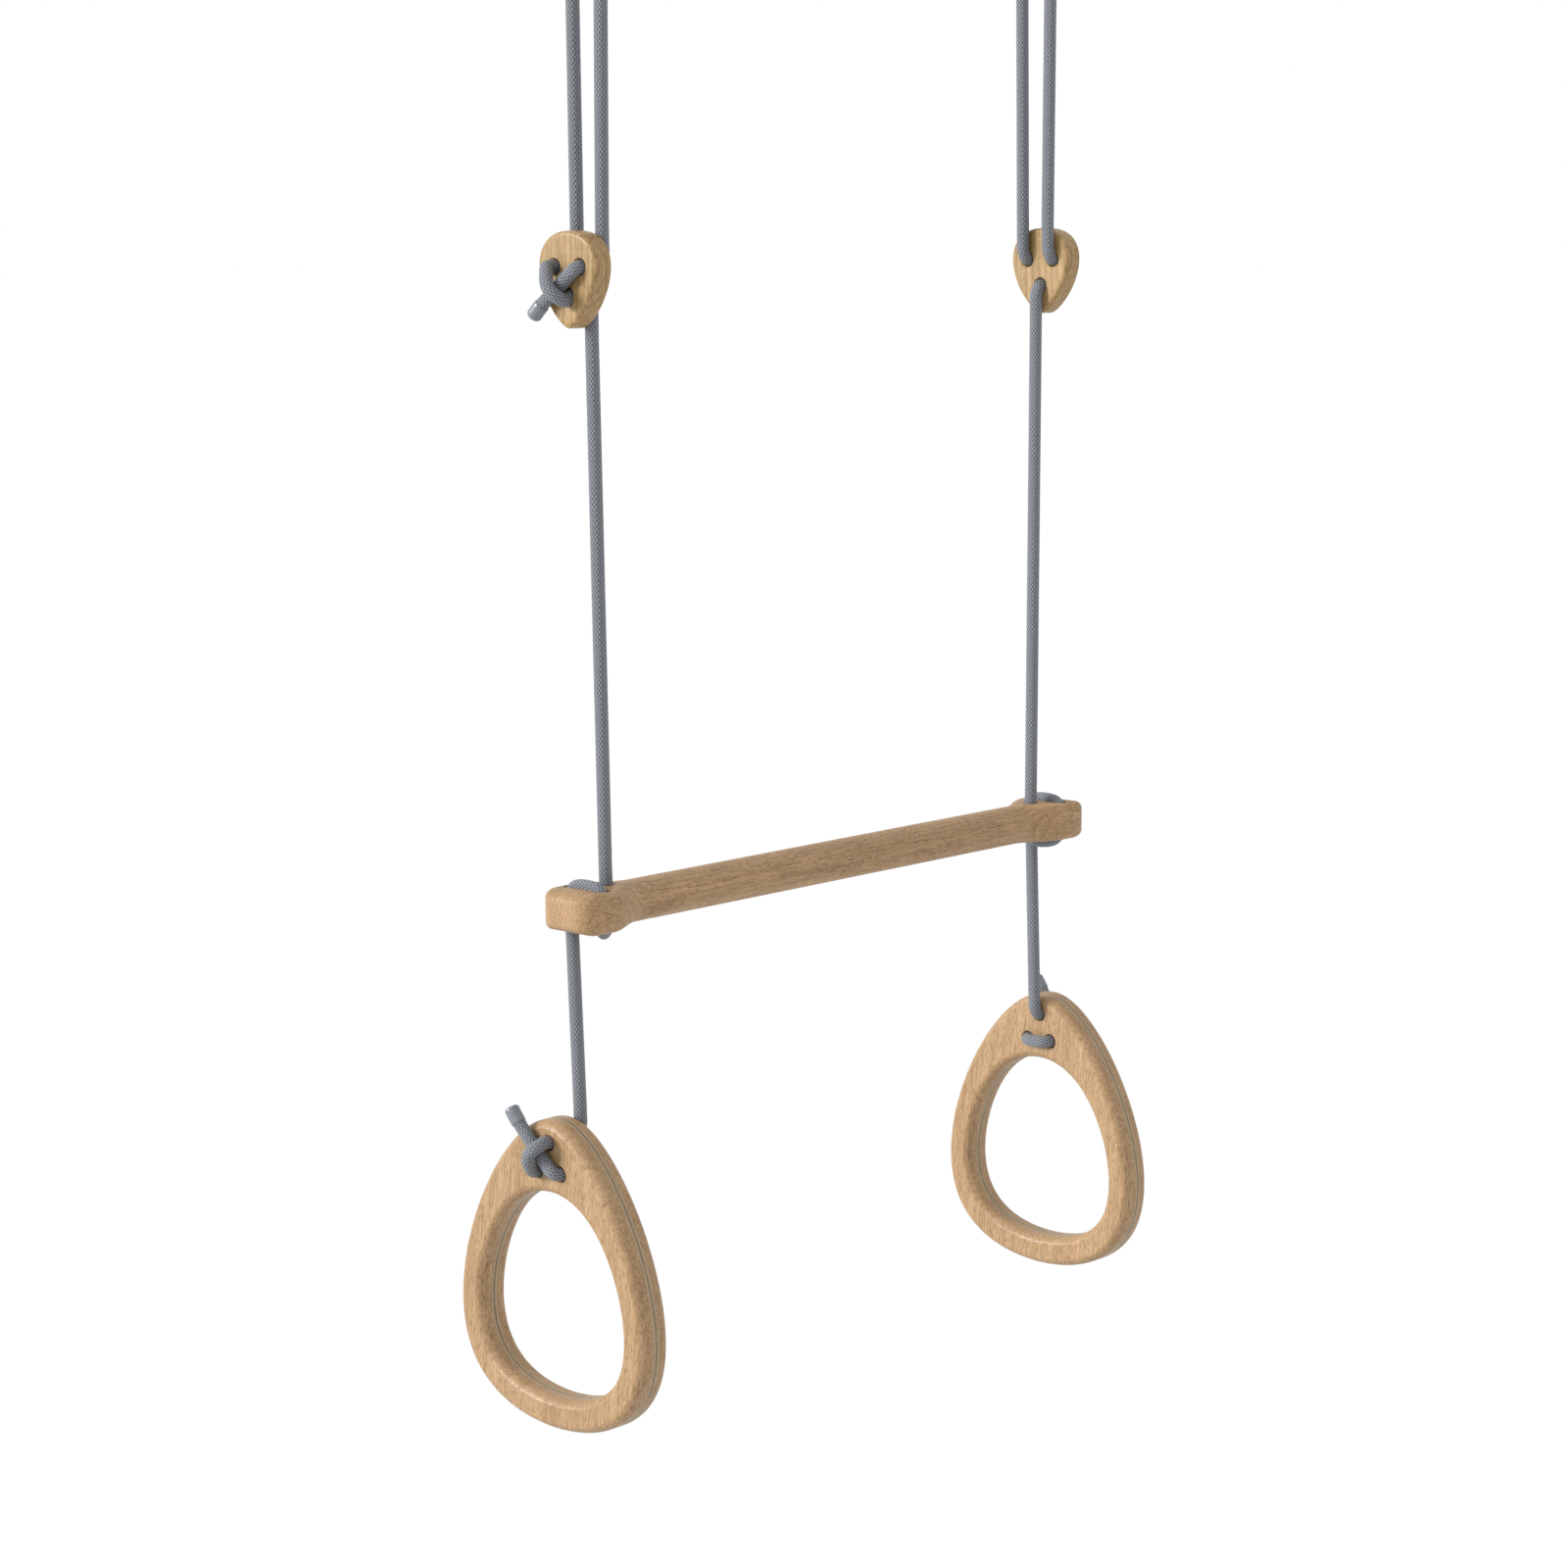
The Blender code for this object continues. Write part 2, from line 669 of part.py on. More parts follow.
def tail_with_sleeve(label, name, route, spacing=4.4 * MM):
    """A rope tail whose last stretch is covered by a sleeve of its own."""
    points = smooth_route(route, spacing)
    length = 0.0
    last = len(points) - 1
    while length < SLEEVE_LENGTH:
        length += (points[last] - points[last - 1]).length
        last -= 1
    rope = tube(f"{label}_{name}", points[: last + 1], ROPE_R, ROPE)
    along = (points[last + 1] - points[last]).normalized() * 2 * GAP
    tube(f"{label}_{name}_sleeve", [points[last] + along] + points[last + 1 :], SLEEVE_R, SLEEVE, 3)
    return rope


def rope_side(label, side):
    """All the rope of one side, cut into a node for each moving body, and its grooves."""
    loop, tail = adjuster_routes(side)
    weave = smooth_route(weave_route(side), 4 * MM)
    knot = ring_knot_route(side)
    loop_points = smooth_route(loop, 4 * MM)
    tube(f"{label}_adjuster_loop", loop_points, ROPE_R, ROPE)
    tail_with_sleeve(label, "adjuster_tail", tail, 4 * MM)
    tube(f"{label}_bar_weave", weave, ROPE_R, ROPE)
    tail_with_sleeve(label, "ring_knot", knot)

    # The bight goes over the roller; its two legs run down to the adjuster
    hanger = Vector((side * HANGER_OUT, 0.0, PIVOT_Z))
    bight = [Vector((side * HANGER_OUT, BIGHT_R, BIGHT_CUT_Z))]
    for step in range(13):
        turn = math.pi * step / 12
        bight.append(hanger + Vector((0.0, math.cos(turn), math.sin(turn))) * BIGHT_R)
    bight.append(Vector((side * HANGER_OUT, -BIGHT_R, BIGHT_CUT_Z)))
    tube(f"{label}_rope_bight", bight, ROPE_R, ROPE, 3)
    down = Vector((0.0, 0.0, -GAP))
    tube(f"{label}_far_strand", (bight[0] + down, loop_points[0] - down), ROPE_R, ROPE, 3)
    tube(f"{label}_near_strand", (bight[-1] + down, tail[0] - down), ROPE_R, ROPE, 3)
    tube(f"{label}_main_rope", (loop_points[-1] + down, weave[0] - down), ROPE_R, ROPE, 3)
    tube(f"{label}_ring_rope", (weave[-1] + down, knot[0] - down), ROPE_R, ROPE, 3)

    return {
        "loop": rope_groove(f"{label}_loop_groove", loop_points),
        "tail": rope_groove(f"{label}_tail_groove", smooth_route(tail, 4 * MM)),
        "weave": rope_groove(f"{label}_weave_groove", weave),
        "knot": rope_groove(f"{label}_knot_groove", smooth_route(knot, 4.4 * MM)),
    }


def build():
    weave_grooves = []
    for label, side in SIDES:
        hanger_bracket(label, side)
        hanger_fasteners(label, side)
        hanger_roller(label, side)
        grooves = rope_side(label, side)
        adjuster(label, side, (grooves["loop"], grooves["tail"]))
        ring(label, side, grooves["knot"])
        weave_grooves.append(grooves["weave"])
    trapeze_bar(weave_grooves)


build()
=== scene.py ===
import math

import bmesh
import bpy
import numpy as np
from mathutils import Matrix, Vector
from mathutils.geometry import interpolate_bezier


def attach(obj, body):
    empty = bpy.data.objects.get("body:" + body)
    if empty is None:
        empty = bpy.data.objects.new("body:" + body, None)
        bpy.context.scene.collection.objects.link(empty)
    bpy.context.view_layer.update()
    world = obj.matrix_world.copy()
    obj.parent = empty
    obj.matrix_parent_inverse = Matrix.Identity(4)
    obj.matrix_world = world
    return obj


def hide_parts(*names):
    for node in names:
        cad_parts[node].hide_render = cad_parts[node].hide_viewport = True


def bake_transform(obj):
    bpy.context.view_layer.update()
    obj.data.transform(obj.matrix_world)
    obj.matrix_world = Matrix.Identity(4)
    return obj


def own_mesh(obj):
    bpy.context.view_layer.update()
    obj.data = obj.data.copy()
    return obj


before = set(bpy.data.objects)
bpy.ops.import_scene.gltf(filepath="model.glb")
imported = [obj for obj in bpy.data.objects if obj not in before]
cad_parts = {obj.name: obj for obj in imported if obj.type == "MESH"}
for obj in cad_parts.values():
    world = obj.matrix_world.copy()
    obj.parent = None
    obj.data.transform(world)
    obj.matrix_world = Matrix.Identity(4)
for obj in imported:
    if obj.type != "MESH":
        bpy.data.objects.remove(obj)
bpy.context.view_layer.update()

# The room: a camera a little below the ceiling, looking slightly down at the hanging
# trapeze, a pale floor well below it, and soft studio light from the left.

MM = 0.001
SIDES = (("left", -1), ("right", 1))

camera_data = bpy.data.cameras.new("camera")
camera_data.sensor_width = 36
camera_data.lens = 80
camera_data.clip_end = 1000
camera = bpy.data.objects.new("camera", camera_data)
bpy.context.scene.collection.objects.link(camera)
forward = Vector((0.7200, 0.6767, -0.1541)).normalized()
level = forward.cross(Vector((0, 0, 1))).normalized()
upright = level.cross(forward)
roll = math.radians(0.481)
right = level * math.cos(roll) - upright * math.sin(roll)
top = upright * math.cos(roll) + level * math.sin(roll)
camera.matrix_world = Matrix.Translation((-1.979, -1.809, -0.266)) @ Matrix(
    (right, top, -forward)
).transposed().to_4x4()
bpy.context.scene.camera = camera

bpy.ops.mesh.primitive_plane_add(size=400, location=(0, 0, -2.3))
floor = bpy.context.object
floor.name = "floor"
floor_paint = bpy.data.materials.new("pale_floor")
floor_paint.use_nodes = True
floor_paint.node_tree.nodes["Principled BSDF"].inputs["Base Color"].default_value = (0.72, 0.72, 0.72, 1)
floor_paint.node_tree.nodes["Principled BSDF"].inputs["Roughness"].default_value = 0.9
floor.data.materials.append(floor_paint)

world = bpy.data.worlds.new("studio")
world.use_nodes = True
bpy.context.scene.world = world
sky = world.node_tree.nodes["Background"]
sky.inputs["Color"].default_value = (1, 1, 1, 1)
sky.inputs["Strength"].default_value = 1.0
bpy.context.scene.view_settings.view_transform = "Standard"


def studio_light(name, towards, spread, strength):
    """A distant soft light that shines from the given direction."""
    data = bpy.data.lights.new(name, "SUN")
    data.angle = math.radians(spread)
    data.energy = strength
    lamp = bpy.data.objects.new(name, data)
    bpy.context.scene.collection.objects.link(lamp)
    way = Vector(towards).normalized()
    lamp.location = way * 6
    lamp.rotation_euler = way.to_track_quat("Z", "Y").to_euler()


studio_light("key", (-0.78, 0.55, 0.33), 22, 3.7)

# The ropes: on each side one 10 mm braided polyester line runs from its sleeved tail
# through the adjuster, over the ceiling roller, back through the adjuster, down
# through the bar's three holes and into the ring, where it is hitched round itself.

ROPE_R = 5 * MM
SLEEVE_R = 5.7 * MM
SLEEVE_LENGTH = 13 * MM
HANGER_OUT = 249.5 * MM
PIVOT_Z = -45 * MM
BIGHT_R = 14.6 * MM
BIGHT_CUT_Z = PIVOT_Z - 12 * MM
ADJUSTER_Z = -294 * MM
ADJUSTER_OUT = 264.2 * MM
ADJUSTER_Y = 1 * MM
ADJUSTER_THICK = 18 * MM
ADJUSTER_HOLES = ((12.5, 11.0), (-13.5, 11.0), (-1.0, -9.5))
BAR_Z = -745 * MM
RING_Z = -1006.8 * MM
RING_OUT = 283.6 * MM
RING_Y = 13.3 * MM
RING_THICK = 28.2 * MM
RING_HOLES = ((-2.5, 91.5), (9.5, 69.5), (-14.5, 70.0))

# Rope points on the adjuster and the ring are (height over the outer face, y, z), and
# points in the bar are (out from the middle, y, z over the bar's axis), all in mm.
ADJUSTER_LOOP = (
    (-23.3, 12.7, 40), (-23.3, 12.6, 27), (-22.9, 12.5, 18.6), (-19.1, 12.5, 12.2), (-13, 12.5, 11),
    (-6, 12.5, 11), (1, 13, 11.4), (6.2, 12.9, 10.4), (10.2, 9.4, 7), (13.8, 5.8, 2), (15.6, 2.4, -3),
    (14.6, -1.2, -7.2), (11.2, -3.8, -10.5), (5.4, -3.4, -12.5), (0.4, -1.9, -11.1), (-6, -1, -9.5),
    (-13, -1, -9.5), (-19.1, -1, -10.7), (-22.9, -1, -17.1), (-23.3, -1, -25.5), (-23.3, -1, -40),
)
ADJUSTER_TAIL = (
    (-23.3, -13.1, 40), (-23.3, -13.2, 27), (-22.9, -13.4, 18.6), (-19.1, -13.5, 12.2),
    (-13, -13.5, 11), (-6, -13.5, 11), (0.6, -13.3, 10.6), (4.6, -10.9, 7.6), (5.4, -5.8, 3.2),
    (5.4, -0.6, -0.9), (5.4, 6.8, -6.4), (5.7, 14.5, -12), (6.7, 21.3, -18.3), (7.8, 27.4, -25),
)
BAR_WEAVE = (
    (245.3, 0, 30), (245, 0, 18), (244.8, 0, 6), (244.8, 0, -5), (245.4, -0.4, -12),
    (248.4, -2.9, -16.2), (254, -7.4, -17.3), (259.6, -11.9, -16.4), (263, -14.7, -12.4),
    (264, -15.5, -5), (264, -15.5, 6), (264, -14.7, 11.6), (264.2, -11.4, 15.2), (264.4, -6.2, 16.5),
    (264.5, 0, 16.8), (264.6, 6.2, 16.5), (264.8, 11.4, 15.2), (265, 14.7, 11.6), (265, 15.5, 6),
    (265, 15.5, -5), (265, 15.5, -14),
)
RING_KNOT = (
    (-33.5, -1.9, 118), (-33.5, -2.2, 107), (-33.1, -2.4, 99.1), (-29.3, -2.5, 92.7), (-22, -2.5, 91.5),
    (-14.1, -2.5, 91.5), (-6, -2.5, 91.5), (0.4, -3.1, 92.4), (5.5, -4.8, 93.4), (11.4, -4.7, 91.6),
    (14.8, -2.2, 89), (15.9, 1, 84.7), (14.4, 3, 79.2), (10.4, 5.4, 74.2), (5.6, 8.3, 70.4),
    (0.8, 9.8, 69.1), (-6, 9.5, 69.5), (-14.1, 9.5, 69.5), (-22, 9.5, 69.5), (-29.1, 8.6, 69.5),
    (-32.8, 4.6, 69.6), (-33.5, -2.5, 69.7), (-32.8, -9.6, 69.9), (-29.1, -13.6, 70), (-22, -14.5, 70),
    (-14.1, -14.5, 70), (-6, -14.5, 70), (0.4, -14.4, 70.3), (4.6, -12.1, 72.2), (5.4, -5.6, 78),
    (5.6, 0.9, 83.9), (5.5, 9.9, 92.1), (5.8, 18.5, 100.9), (6.4, 23.6, 107.2), (6.8, 28.9, 114.4),
)
STEP = 1.2 * MM
ROPE_SIDES = 24


def smooth_route(points, spacing=STEP):
    """Points at an even spacing along one smooth curve through the route's points."""
    padded = [points[0]] + list(points) + [points[-1]]
    fine = []
    for before, start, end, after in zip(padded, padded[1:], padded[2:], padded[3:]):
        first_handle = start + (end - before) / 6
        second_handle = end - (after - start) / 6
        fine += interpolate_bezier(start, first_handle, second_handle, end, 24)[:-1]
    fine = np.array([tuple(point) for point in fine + [points[-1]]])
    along = np.concatenate([[0], np.cumsum(np.linalg.norm(np.diff(fine, axis=0), axis=1))])
    wanted = np.linspace(0, along[-1], max(2, round(along[-1] / spacing) + 1))
    return np.stack([np.interp(wanted, along, fine[:, k]) for k in range(3)], axis=1)


def on_plate(side, out, thick, y, z, points):
    """Points given over a plate's outer face, in the row's frame."""
    face = out + thick / 2
    return [Vector((side * (face + p * MM), y + a * MM, z + b * MM)) for p, a, b in points]


def rope_frames(path):
    """Two directions across the rope at each point, carried along it without twist."""
    ahead = np.gradient(path, axis=0)
    ahead /= np.linalg.norm(ahead, axis=1)[:, None]
    across = np.zeros_like(path)
    first = np.cross(ahead[0], (1.0, 0.0, 0.0))
    across[0] = first / np.linalg.norm(first)
    for k in range(1, len(path)):
        kept = across[k - 1] - ahead[k] * np.dot(across[k - 1], ahead[k])
        across[k] = kept / np.linalg.norm(kept)
    return across, np.cross(ahead, across)


def rope_piece(name, rope, start, end, radius=ROPE_R, sides=ROPE_SIDES, taper=()):
    """A closed tube on points start to end of the rope, with a braid map (turns, metres)."""
    path, across, over, along = rope
    rows = range(start, end + 1)
    turns = np.arange(sides) * 2 * math.pi / sides
    ring = np.cos(turns)[:, None], np.sin(turns)[:, None]
    verts = []
    for k in rows:
        share = dict(taper).get(k - start, 1.0)
        verts += list(path[k] + radius * share * (ring[0] * across[k] + ring[1] * over[k]))
    count = len(rows)
    verts += [path[start], path[end]]
    faces = []
    maps = []
    for row in range(count - 1):
        for k in range(sides):
            after = (k + 1) % sides
            here, above = row * sides, (row + 1) * sides
            faces.append((here + k, here + after, above + after, above + k))
            low, high = along[start + row], along[start + row + 1]
            maps += [(k / sides, low), ((k + 1) / sides, low), ((k + 1) / sides, high), (k / sides, high)]
    for middle, row, order in ((count * sides, 0, -1), (count * sides + 1, count - 1, 1)):
        for k in range(sides):
            after = (k + 1) % sides
            edge = (row * sides + k, row * sides + after)[::order]
            faces.append((middle, *edge))
            maps += [(k / sides, along[start + row])] * 3
    mesh = bpy.data.meshes.new(name)
    mesh.from_pydata([tuple(v) for v in verts], [], faces)
    layer = mesh.uv_layers.new(name="braid")
    layer.data.foreach_set("uv", np.array(maps, np.float32).ravel())
    shape = bmesh.new()
    shape.from_mesh(mesh)
    bmesh.ops.recalc_face_normals(shape, faces=shape.faces)
    shape.to_mesh(mesh)
    shape.free()
    mesh.shade_smooth()
    mesh.set_sharp_from_angle(angle=math.radians(50))
    piece = bpy.data.objects.new(name, mesh)
    bpy.context.scene.collection.objects.link(piece)
    return piece


class Shader:
    """Short ways to add and link nodes in one material."""

    def __init__(self, name):
        self.material = bpy.data.materials.new(name)
        self.material.use_nodes = True
        self.nodes = self.material.node_tree.nodes
        self.links = self.material.node_tree.links
        self.surface = self.nodes["Principled BSDF"]

    def set(self, **values):
        for key, value in values.items():
            self.surface.inputs[key.replace("_", " ")].default_value = value

    def link(self, source, target):
        self.links.new(source, target)

    def feed(self, socket, value):
        if isinstance(value, (int, float)):
            socket.default_value = value
        elif isinstance(value, tuple):
            socket.default_value = value if socket.type == "VECTOR" else (*value, 1)[:4]
        else:
            self.links.new(value, socket)

    def math(self, operation, *values):
        node = self.nodes.new("ShaderNodeMath")
        node.operation = operation
        for socket, value in zip(node.inputs, values):
            self.feed(socket, value)
        return node.outputs[0]

    def map(self, source, location=(0, 0, 0), rotation=(0, 0, 0), scale=(1, 1, 1)):
        node = self.nodes.new("ShaderNodeMapping")
        self.feed(node.inputs["Vector"], source)
        node.inputs["Location"].default_value = location
        node.inputs["Rotation"].default_value = rotation
        node.inputs["Scale"].default_value = scale
        return node.outputs[0]

    def noise(self, vector, scale, detail=2.0, roughness=0.5, distortion=0.0):
        node = self.nodes.new("ShaderNodeTexNoise")
        self.feed(node.inputs["Vector"], vector)
        node.inputs["Scale"].default_value = scale
        node.inputs["Detail"].default_value = detail
        node.inputs["Roughness"].default_value = roughness
        node.inputs["Distortion"].default_value = distortion
        return node.outputs["Fac"]

    def ramp(self, value, *stops):
        node = self.nodes.new("ShaderNodeValToRGB")
        self.feed(node.inputs["Fac"], value)
        elements = node.color_ramp.elements
        while len(elements) < len(stops):
            elements.new(0.5)
        for element, (place, colour) in zip(elements, stops):
            element.position = place
            element.color = (*colour, 1) if isinstance(colour, tuple) else (colour, colour, colour, 1)
        return node.outputs["Color"]

    def mix(self, share, first, second, blend="MIX"):
        node = self.nodes.new("ShaderNodeMix")
        node.data_type = "RGBA"
        node.blend_type = blend
        self.feed(node.inputs["Factor"], share)
        self.feed(node.inputs[6], first)
        self.feed(node.inputs[7], second)
        return node.outputs[2]

    def bump(self, height, distance, strength=1.0):
        node = self.nodes.new("ShaderNodeBump")
        node.inputs["Strength"].default_value = strength
        node.inputs["Distance"].default_value = distance
        self.feed(node.inputs["Height"], height)
        self.link(node.outputs["Normal"], self.surface.inputs["Normal"])

    def coordinates(self, kind="Object"):
        node = self.nodes.new("ShaderNodeTexCoord")
        return node.outputs[kind]


def braid_material():
    """Twelve strands each way round the rope, over and under each other, with painted shade in the gaps
    between them.
    """
    shader = Shader("braided_polyester")
    uv = shader.nodes.new("ShaderNodeUVMap")
    uv.uv_map = "braid"
    parts = shader.nodes.new("ShaderNodeSeparateXYZ")
    shader.link(uv.outputs[0], parts.inputs[0])
    round_it = shader.math("MULTIPLY", parts.outputs[0], 12.0)
    along = shader.math("DIVIDE", parts.outputs[1], 3.9 * MM)
    one = shader.math("ADD", round_it, along)
    other = shader.math("SUBTRACT", round_it, along)
    heights = []
    for mine, theirs, sign in ((one, other, 0.5), (other, one, -0.5)):
        across = shader.math("PINGPONG", mine, 0.5)
        crown = shader.math("SINE", shader.math("MULTIPLY", across, math.pi))
        cell = shader.math("FLOOR", mine)
        phase = shader.math("ADD", shader.math("SUBTRACT", theirs, 0.5), cell)
        wave = shader.math("COSINE", shader.math("MULTIPLY", phase, math.pi))
        rise = shader.math("MULTIPLY_ADD", wave, sign, 0.5)
        heights.append(shader.math("MULTIPLY", crown, rise))
    height = shader.math("MAXIMUM", *heights)
    fibres = shader.noise(shader.coordinates(), 900, 2)
    # Painted shade: the tone ramp darkens the colour from the strand crowns down into the gaps between
    # strands, on top of the bump.
    tone = shader.ramp(height, (0.2, (0.035, 0.04, 0.048)), (0.7, (0.205, 0.22, 0.247)))
    tone = shader.mix(0.25, tone, shader.ramp(fibres, (0.3, (0.09, 0.1, 0.117)), (0.7, (0.21, 0.225, 0.25))))
    shader.link(tone, shader.surface.inputs["Base Color"])
    shader.set(Roughness=0.5, Sheen_Weight=0.1, Sheen_Roughness=0.4)
    shader.bump(height, 0.9 * MM, 1.0)
    return shader.material


def sleeve_material():
    shader = Shader("clear_sleeve")
    cloud = shader.noise(shader.coordinates(), 500, 3)
    shader.link(
        shader.ramp(cloud, (0.3, (0.125, 0.137, 0.155)), (0.7, (0.165, 0.178, 0.2))),
        shader.surface.inputs["Base Color"],
    )
    shader.set(Roughness=0.3, Coat_Weight=0.2, Coat_Roughness=0.15)
    shader.bump(cloud, 0.05 * MM, 0.3)
    return shader.material


ROPE_BRAID = braid_material()
SLEEVE_FILM = sleeve_material()


def whole_rope(side):
    """The rope's full centre line, and the index where each of its stretches starts."""
    adjuster = (side, ADJUSTER_OUT, ADJUSTER_THICK, ADJUSTER_Y, ADJUSTER_Z)
    tail = smooth_route(on_plate(*adjuster, ADJUSTER_TAIL))[::-1]
    loop = smooth_route(on_plate(*adjuster, ADJUSTER_LOOP))
    weave = smooth_route([Vector((side * x * MM, y * MM, BAR_Z + z * MM)) for x, y, z in BAR_WEAVE])
    knot = smooth_route(on_plate(side, RING_OUT, RING_THICK, RING_Y, RING_Z, RING_KNOT))
    x = side * HANGER_OUT
    turns = np.linspace(math.pi, 0, 39)
    bend = np.stack(
        [np.full(39, x), BIGHT_R * np.cos(turns), PIVOT_Z + BIGHT_R * np.sin(turns)], axis=1
    )
    near_end, far_end = (x, -BIGHT_R, BIGHT_CUT_Z), (x, BIGHT_R, BIGHT_CUT_Z)

    def straight(start, end):
        count = round(math.dist(start, end) / STEP)
        return np.linspace(start, end, count + 1)[:-1]

    stretches = {
        "tail": tail[:-1],
        "near": straight(tail[-1], near_end),
        "bight_in": straight(near_end, bend[0]),
        "bight": bend[:-1],
        "bight_out": straight(bend[-1], far_end),
        "far": straight(far_end, loop[0]),
        "loop": loop[:-1],
        "main": straight(loop[-1], weave[0]),
        "weave": weave[:-1],
        "ring_rope": straight(weave[-1], knot[0]),
        "knot": knot,
    }
    starts = {}
    count = 0
    for name, points in stretches.items():
        starts[name] = count
        count += len(points)
    path = np.concatenate(list(stretches.values()))
    starts["end"] = len(path) - 1
    across, over = rope_frames(path)
    along = np.concatenate([[0], np.cumsum(np.linalg.norm(np.diff(path, axis=0), axis=1))])
    return (path, across, over, along), starts


def dress(piece, body, nodes, material):
    """Gives a rope piece its finish; one that runs between two bodies is tied to neither."""
    piece.data.materials.append(material)
    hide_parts(*nodes)
    if body:
        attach(piece, body)


for label, side in SIDES:
    rope, starts = whole_rope(side)
    path, across, over, along = rope
    sleeve_points = round(SLEEVE_LENGTH / STEP)
    last = starts["end"]
    tail_sleeve = rope_piece(
        f"{label}_adjuster_sleeve", rope, 0, sleeve_points, SLEEVE_R, 32,
        ((0, 0.5), (1, 0.85), (2, 0.97), (sleeve_points, 0.93)),
    )
    ring_sleeve = rope_piece(
        f"{label}_ring_sleeve", rope, last - sleeve_points, last, SLEEVE_R, 32,
        ((0, 0.93), (sleeve_points - 1, 0.98), (sleeve_points, 0.82)),
    )
    upper = rope_piece(f"{label}_hanger_rope", rope, sleeve_points - 1, starts["main"])
    main = rope_piece(f"{label}_main_line", rope, starts["main"], starts["weave"])
    weave = rope_piece(f"{label}_bar_rope", rope, starts["weave"], starts["ring_rope"])
    drop = rope_piece(f"{label}_ring_line", rope, starts["ring_rope"], starts["knot"])
    knot = rope_piece(f"{label}_ring_hitch", rope, starts["knot"], last - sleeve_points + 1)

    tail_node = f"{label}_adjuster_tail_sleeve"
    dress(tail_sleeve, f"{label}_rope_adjuster", [tail_node], SLEEVE_FILM)
    dress(ring_sleeve, f"{label}_ring", [f"{label}_ring_knot_sleeve"], SLEEVE_FILM)
    stretches = ("rope_bight", "far_strand", "near_strand", "adjuster_loop", "adjuster_tail")
    upper_nodes = [f"{label}_{stretch}" for stretch in stretches]
    dress(upper, None, upper_nodes, ROPE_BRAID)
    dress(main, "trapeze", [f"{label}_main_rope"], ROPE_BRAID)
    dress(weave, "trapeze", [f"{label}_bar_weave"], ROPE_BRAID)
    dress(drop, None, [f"{label}_ring_rope"], ROPE_BRAID)
    dress(knot, f"{label}_ring", [f"{label}_ring_knot"], ROPE_BRAID)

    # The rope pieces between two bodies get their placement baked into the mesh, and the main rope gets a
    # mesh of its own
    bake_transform(upper)
    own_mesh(main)
    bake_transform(drop)

# Oak: the bar, the rings and the adjusters are sawn and shaped from oak, sanded and
# oiled. The bar and the rings are the darker, open-pored wood, the adjusters paler.


def oak_material(name, turn, centre, dark, light, pore, ring_size, lines, pore_share=0.8, roughness=0.48):
    """Oak whose grain runs along local Z after turning: bands, growth lines, pore dashes, flecks."""
    shader = Shader(name)
    place = shader.map(shader.coordinates(), location=centre, rotation=turn)
    slow = shader.map(place, scale=(1, 1, 0.07))
    sway = shader.noise(shader.map(place, scale=(1, 1, 0.3)), 16, 2)
    parts = shader.nodes.new("ShaderNodeSeparateXYZ")
    shader.link(slow, parts.inputs[0])
    across = shader.math("ADD", shader.math("MULTIPLY", parts.outputs[0], 0.4), parts.outputs[1])
    rings = shader.math("DIVIDE", across, ring_size * MM)
    bands = shader.math("ADD", rings, shader.math("MULTIPLY", sway, 5.0))
    growth = shader.math("FRACT", bands)
    streak = shader.noise(shader.map(place, scale=(1, 1, 0.06)), 520, 4, 0.7)
    broad = shader.noise(slow, 60, 3, 0.55)
    middle = tuple((a + b) / 2 for a, b in zip(dark, light))
    tone = shader.ramp(broad, (0.3, dark), (0.5, middle), (0.7, light))
    tone = shader.mix(0.6, tone, shader.ramp(streak, (0.38, dark), (0.62, light)))
    early = shader.ramp(growth, (0.0, 0.0), (0.1, 1.0), (0.3, 0.3), (1.0, 0.0))
    tone = shader.mix(shader.math("MULTIPLY", early, lines), tone, dark)
    dashes = shader.noise(shader.map(place, scale=(1, 1, 0.12)), 1500, 1, 0.5)
    dash_mask = shader.ramp(dashes, (0.35, 1.0), (0.45, 0.0))
    holes = shader.math("MULTIPLY", dash_mask, shader.math("MULTIPLY_ADD", early, 1 - pore_share, pore_share))
    tone = shader.mix(holes, tone, pore)
    flecks = shader.noise(shader.map(place, location=(3, 5, 7), scale=(1, 1, 0.25)), 800, 1, 0.5)
    tone = shader.mix(shader.ramp(flecks, (0.6, 0.0), (0.72, 0.55)), tone, light)
    shader.link(tone, shader.surface.inputs["Base Color"])
    rough = shader.math("MULTIPLY_ADD", holes, 0.25, roughness)
    shader.link(rough, shader.surface.inputs["Roughness"])
    shader.set(Specular_IOR_Level=0.35)
    height = shader.math("SUBTRACT", shader.math("MULTIPLY", streak, 0.4), holes)
    shader.bump(height, 0.09 * MM, 0.8)
    return shader.material


def egg(wide, tall, count, drop=0.0):
    """An egg outline as (y, z) points: three sine terms across, three cosine terms up."""
    turn = np.arange(count) * 2 * math.pi / count
    y = sum(size * np.sin((k + 1) * turn) for k, size in enumerate(wide))
    z = sum(size * np.cos((k + 1) * turn) for k, size in enumerate(tall))
    return np.stack([y, z - drop], axis=1) * MM


def inset(outline, depth):
    """The outline moved towards its inside by depth."""
    ahead = np.roll(outline, -1, axis=0) - np.roll(outline, 1, axis=0)
    inward = np.stack([ahead[:, 1], -ahead[:, 0]], axis=1)
    inward /= np.linalg.norm(inward, axis=1)[:, None]
    if np.sum(inward * outline) > 0:
        inward = -inward
    return outline + inward * depth


